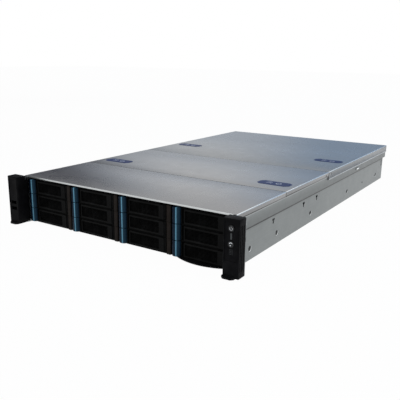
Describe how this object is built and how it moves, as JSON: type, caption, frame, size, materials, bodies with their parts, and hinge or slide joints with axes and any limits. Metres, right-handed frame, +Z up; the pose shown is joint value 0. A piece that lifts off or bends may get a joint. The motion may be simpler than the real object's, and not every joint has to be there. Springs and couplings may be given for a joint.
{
  "type": "barebone rack server",
  "caption": "Flat rack server chassis with hinged-lever drive carriers in front, sliding top covers, rack ears with buttons, fans, main board and rear power supplies.",
  "frame": {"origin": "on the back plane of the rack flanges, midway between the two rack holes", "axes": "+X to the right seen from the front, +Y to the rear, +Z up"},
  "size_m": [0.4826, 0.836, 0.088],
  "materials": {
    "zinc_steel": "zinc plated sheet",
    "cover_steel": "zinc plated sheet, satin",
    "black_plastic": "fine textured",
    "lever_plastic": "fine textured",
    "blue_plastic": "satin gloss",
    "button_plastic": "gloss",
    "board_green": "solder mask",
    "psu_steel": "plain sheet",
    "latch_plastic": "plain",
    "rotor_plastic": "plain",
    "screw_steel": "bright zinc"
  },
  "bodies": {
    "chassis": {"chassis_base": "zinc_steel", "rear_panel": "zinc_steel", "front_top_cover": "cover_steel", "drive_cage": "zinc_steel", "backplane": "board_green", "fan_wall": "zinc_steel", "fan_frames": "black_plastic", "motherboard": "board_green", "left_ear": "black_plastic", "right_ear": "black_plastic", "screws": "screw_steel"},
    "middle_cover": {"middle_cover": "cover_steel"},
    "rear_cover": {"rear_cover": "cover_steel"},
    "tray_09": {"tray_09": "black_plastic"},
    "lever_09": {"lever_09": "lever_plastic"},
    "release_button_09": {"release_button_09": "blue_plastic"},
    "tray_10": {"tray_10": "black_plastic"},
    "lever_10": {"lever_10": "lever_plastic"},
    "release_button_10": {"release_button_10": "blue_plastic"},
    "tray_11": {"tray_11": "black_plastic"},
    "lever_11": {"lever_11": "lever_plastic"},
    "release_button_11": {"release_button_11": "blue_plastic"},
    "tray_12": {"tray_12": "black_plastic"},
    "lever_12": {"lever_12": "lever_plastic"},
    "release_button_12": {"release_button_12": "blue_plastic"},
    "tray_05": {"tray_05": "black_plastic"},
    "lever_05": {"lever_05": "lever_plastic"},
    "release_button_05": {"release_button_05": "blue_plastic"},
    "tray_06": {"tray_06": "black_plastic"},
    "lever_06": {"lever_06": "lever_plastic"},
    "release_button_06": {"release_button_06": "blue_plastic"},
    "tray_07": {"tray_07": "black_plastic"},
    "lever_07": {"lever_07": "lever_plastic"},
    "release_button_07": {"release_button_07": "blue_plastic"},
    "tray_08": {"tray_08": "black_plastic"},
    "lever_08": {"lever_08": "lever_plastic"},
    "release_button_08": {"release_button_08": "blue_plastic"},
    "tray_01": {"tray_01": "black_plastic"},
    "lever_01": {"lever_01": "lever_plastic"},
    "release_button_01": {"release_button_01": "blue_plastic"},
    "tray_02": {"tray_02": "black_plastic"},
    "lever_02": {"lever_02": "lever_plastic"},
    "release_button_02": {"release_button_02": "blue_plastic"},
    "tray_03": {"tray_03": "black_plastic"},
    "lever_03": {"lever_03": "lever_plastic"},
    "release_button_03": {"release_button_03": "blue_plastic"},
    "tray_04": {"tray_04": "black_plastic"},
    "lever_04": {"lever_04": "lever_plastic"},
    "release_button_04": {"release_button_04": "blue_plastic"},
    "fan_rotor_1": {"fan_rotor_1": "rotor_plastic"},
    "fan_rotor_2": {"fan_rotor_2": "rotor_plastic"},
    "fan_rotor_3": {"fan_rotor_3": "rotor_plastic"},
    "fan_rotor_4": {"fan_rotor_4": "rotor_plastic"},
    "psu_1": {"psu_1": "psu_steel"},
    "psu_latch_1": {"psu_latch_1": "latch_plastic"},
    "psu_2": {"psu_2": "psu_steel"},
    "psu_latch_2": {"psu_latch_2": "latch_plastic"},
    "power_button": {"power_button": "button_plastic"},
    "uid_button": {"uid_button": "button_plastic"},
    "info_tag": {"info_tag": "black_plastic"}
  },
  "joints": [
    {"name": "rear_cover_slide", "type": "slide", "parent": "chassis", "child": "rear_cover", "axis": [0, 1, 0], "range_m": [0, 0.012]},
    {"name": "middle_cover_slide", "type": "slide", "parent": "chassis", "child": "middle_cover", "axis": [0, 1, 0], "range_m": [0, 0.012]},
    {"name": "tray_09_slide", "type": "slide", "parent": "chassis", "child": "tray_09", "axis": [0, -1, 0], "range_m": [0, 0.15]},
    {"name": "lever_09_swing", "type": "hinge", "parent": "tray_09", "child": "lever_09", "pos_m": [-0.1219, 0.0104, -0.02835], "axis": [0, 0, 1], "range_deg": [0, 60]},
    {"name": "release_button_09_press", "type": "slide", "parent": "tray_09", "child": "release_button_09", "axis": [0, 1, 0], "range_m": [0, 0.0025], "stiffness_N_per_m": 400},
    {"name": "tray_10_slide", "type": "slide", "parent": "chassis", "child": "tray_10", "axis": [0, -1, 0], "range_m": [0, 0.15]},
    {"name": "lever_10_swing", "type": "hinge", "parent": "tray_10", "child": "lever_10", "pos_m": [-0.0141, 0.0104, -0.02835], "axis": [0, 0, 1], "range_deg": [0, 60]},
    {"name": "release_button_10_press", "type": "slide", "parent": "tray_10", "child": "release_button_10", "axis": [0, 1, 0], "range_m": [0, 0.0025], "stiffness_N_per_m": 400},
    {"name": "tray_11_slide", "type": "slide", "parent": "chassis", "child": "tray_11", "axis": [0, -1, 0], "range_m": [0, 0.15]},
    {"name": "lever_11_swing", "type": "hinge", "parent": "tray_11", "child": "lever_11", "pos_m": [0.0937, 0.0104, -0.02835], "axis": [0, 0, 1], "range_deg": [0, 60]},
    {"name": "release_button_11_press", "type": "slide", "parent": "tray_11", "child": "release_button_11", "axis": [0, 1, 0], "range_m": [0, 0.0025], "stiffness_N_per_m": 400},
    {"name": "tray_12_slide", "type": "slide", "parent": "chassis", "child": "tray_12", "axis": [0, -1, 0], "range_m": [0, 0.15]},
    {"name": "lever_12_swing", "type": "hinge", "parent": "tray_12", "child": "lever_12", "pos_m": [0.2015, 0.0104, -0.02835], "axis": [0, 0, 1], "range_deg": [0, 60]},
    {"name": "release_button_12_press", "type": "slide", "parent": "tray_12", "child": "release_button_12", "axis": [0, 1, 0], "range_m": [0, 0.0025], "stiffness_N_per_m": 400},
    {"name": "tray_05_slide", "type": "slide", "parent": "chassis", "child": "tray_05", "axis": [0, -1, 0], "range_m": [0, 0.15]},
    {"name": "lever_05_swing", "type": "hinge", "parent": "tray_05", "child": "lever_05", "pos_m": [-0.1219, 0.0104, -0.00175], "axis": [0, 0, 1], "range_deg": [0, 60]},
    {"name": "release_button_05_press", "type": "slide", "parent": "tray_05", "child": "release_button_05", "axis": [0, 1, 0], "range_m": [0, 0.0025], "stiffness_N_per_m": 400},
    {"name": "tray_06_slide", "type": "slide", "parent": "chassis", "child": "tray_06", "axis": [0, -1, 0], "range_m": [0, 0.15]},
    {"name": "lever_06_swing", "type": "hinge", "parent": "tray_06", "child": "lever_06", "pos_m": [-0.0141, 0.0104, -0.00175], "axis": [0, 0, 1], "range_deg": [0, 60]},
    {"name": "release_button_06_press", "type": "slide", "parent": "tray_06", "child": "release_button_06", "axis": [0, 1, 0], "range_m": [0, 0.0025], "stiffness_N_per_m": 400},
    {"name": "tray_07_slide", "type": "slide", "parent": "chassis", "child": "tray_07", "axis": [0, -1, 0], "range_m": [0, 0.15]},
    {"name": "lever_07_swing", "type": "hinge", "parent": "tray_07", "child": "lever_07", "pos_m": [0.0937, 0.0104, -0.00175], "axis": [0, 0, 1], "range_deg": [0, 60]},
    {"name": "release_button_07_press", "type": "slide", "parent": "tray_07", "child": "release_button_07", "axis": [0, 1, 0], "range_m": [0, 0.0025], "stiffness_N_per_m": 400},
    {"name": "tray_08_slide", "type": "slide", "parent": "chassis", "child": "tray_08", "axis": [0, -1, 0], "range_m": [0, 0.15]},
    {"name": "lever_08_swing", "type": "hinge", "parent": "tray_08", "child": "lever_08", "pos_m": [0.2015, 0.0104, -0.00175], "axis": [0, 0, 1], "range_deg": [0, 60]},
    {"name": "release_button_08_press", "type": "slide", "parent": "tray_08", "child": "release_button_08", "axis": [0, 1, 0], "range_m": [0, 0.0025], "stiffness_N_per_m": 400},
    {"name": "tray_01_slide", "type": "slide", "parent": "chassis", "child": "tray_01", "axis": [0, -1, 0], "range_m": [0, 0.15]},
    {"name": "lever_01_swing", "type": "hinge", "parent": "tray_01", "child": "lever_01", "pos_m": [-0.1219, 0.0104, 0.02485], "axis": [0, 0, 1], "range_deg": [0, 60]},
    {"name": "release_button_01_press", "type": "slide", "parent": "tray_01", "child": "release_button_01", "axis": [0, 1, 0], "range_m": [0, 0.0025], "stiffness_N_per_m": 400},
    {"name": "tray_02_slide", "type": "slide", "parent": "chassis", "child": "tray_02", "axis": [0, -1, 0], "range_m": [0, 0.15]},
    {"name": "lever_02_swing", "type": "hinge", "parent": "tray_02", "child": "lever_02", "pos_m": [-0.0141, 0.0104, 0.02485], "axis": [0, 0, 1], "range_deg": [0, 60]},
    {"name": "release_button_02_press", "type": "slide", "parent": "tray_02", "child": "release_button_02", "axis": [0, 1, 0], "range_m": [0, 0.0025], "stiffness_N_per_m": 400},
    {"name": "tray_03_slide", "type": "slide", "parent": "chassis", "child": "tray_03", "axis": [0, -1, 0], "range_m": [0, 0.15]},
    {"name": "lever_03_swing", "type": "hinge", "parent": "tray_03", "child": "lever_03", "pos_m": [0.0937, 0.0104, 0.02485], "axis": [0, 0, 1], "range_deg": [0, 60]},
    {"name": "release_button_03_press", "type": "slide", "parent": "tray_03", "child": "release_button_03", "axis": [0, 1, 0], "range_m": [0, 0.0025], "stiffness_N_per_m": 400},
    {"name": "tray_04_slide", "type": "slide", "parent": "chassis", "child": "tray_04", "axis": [0, -1, 0], "range_m": [0, 0.15]},
    {"name": "lever_04_swing", "type": "hinge", "parent": "tray_04", "child": "lever_04", "pos_m": [0.2015, 0.0104, 0.02485], "axis": [0, 0, 1], "range_deg": [0, 60]},
    {"name": "release_button_04_press", "type": "slide", "parent": "tray_04", "child": "release_button_04", "axis": [0, 1, 0], "range_m": [0, 0.0025], "stiffness_N_per_m": 400},
    {"name": "fan_rotor_1_spin", "type": "hinge", "parent": "chassis", "child": "fan_rotor_1", "pos_m": [-0.1617, 0.244, -0.00215], "axis": [0, 1, 0], "continuous": true},
    {"name": "fan_rotor_2_spin", "type": "hinge", "parent": "chassis", "child": "fan_rotor_2", "pos_m": [-0.0539, 0.244, -0.00215], "axis": [0, 1, 0], "continuous": true},
    {"name": "fan_rotor_3_spin", "type": "hinge", "parent": "chassis", "child": "fan_rotor_3", "pos_m": [0.0539, 0.244, -0.00215], "axis": [0, 1, 0], "continuous": true},
    {"name": "fan_rotor_4_spin", "type": "hinge", "parent": "chassis", "child": "fan_rotor_4", "pos_m": [0.1617, 0.244, -0.00215], "axis": [0, 1, 0], "continuous": true},
    {"name": "psu_1_slide", "type": "slide", "parent": "chassis", "child": "psu_1", "axis": [0, 1, 0], "range_m": [0, 0.17]},
    {"name": "psu_latch_1_press", "type": "slide", "parent": "psu_1", "child": "psu_latch_1", "axis": [-1, 0, 0], "range_m": [0, 0.003], "stiffness_N_per_m": 600},
    {"name": "psu_2_slide", "type": "slide", "parent": "chassis", "child": "psu_2", "axis": [0, 1, 0], "range_m": [0, 0.17]},
    {"name": "psu_latch_2_press", "type": "slide", "parent": "psu_2", "child": "psu_latch_2", "axis": [-1, 0, 0], "range_m": [0, 0.003], "stiffness_N_per_m": 600},
    {"name": "power_button_press", "type": "slide", "parent": "chassis", "child": "power_button", "axis": [0, 1, 0], "range_m": [0, 0.001], "stiffness_N_per_m": 500},
    {"name": "uid_button_press", "type": "slide", "parent": "chassis", "child": "uid_button", "axis": [0, 1, 0], "range_m": [0, 0.001], "stiffness_N_per_m": 500},
    {"name": "info_tag_slide", "type": "slide", "parent": "chassis", "child": "info_tag", "axis": [0, -1, 0], "range_m": [0, 0.07]}
  ],
  "couplings": [
    {"joint": "middle_cover_slide", "follows": "rear_cover_slide", "ratio": 1}
  ]
}
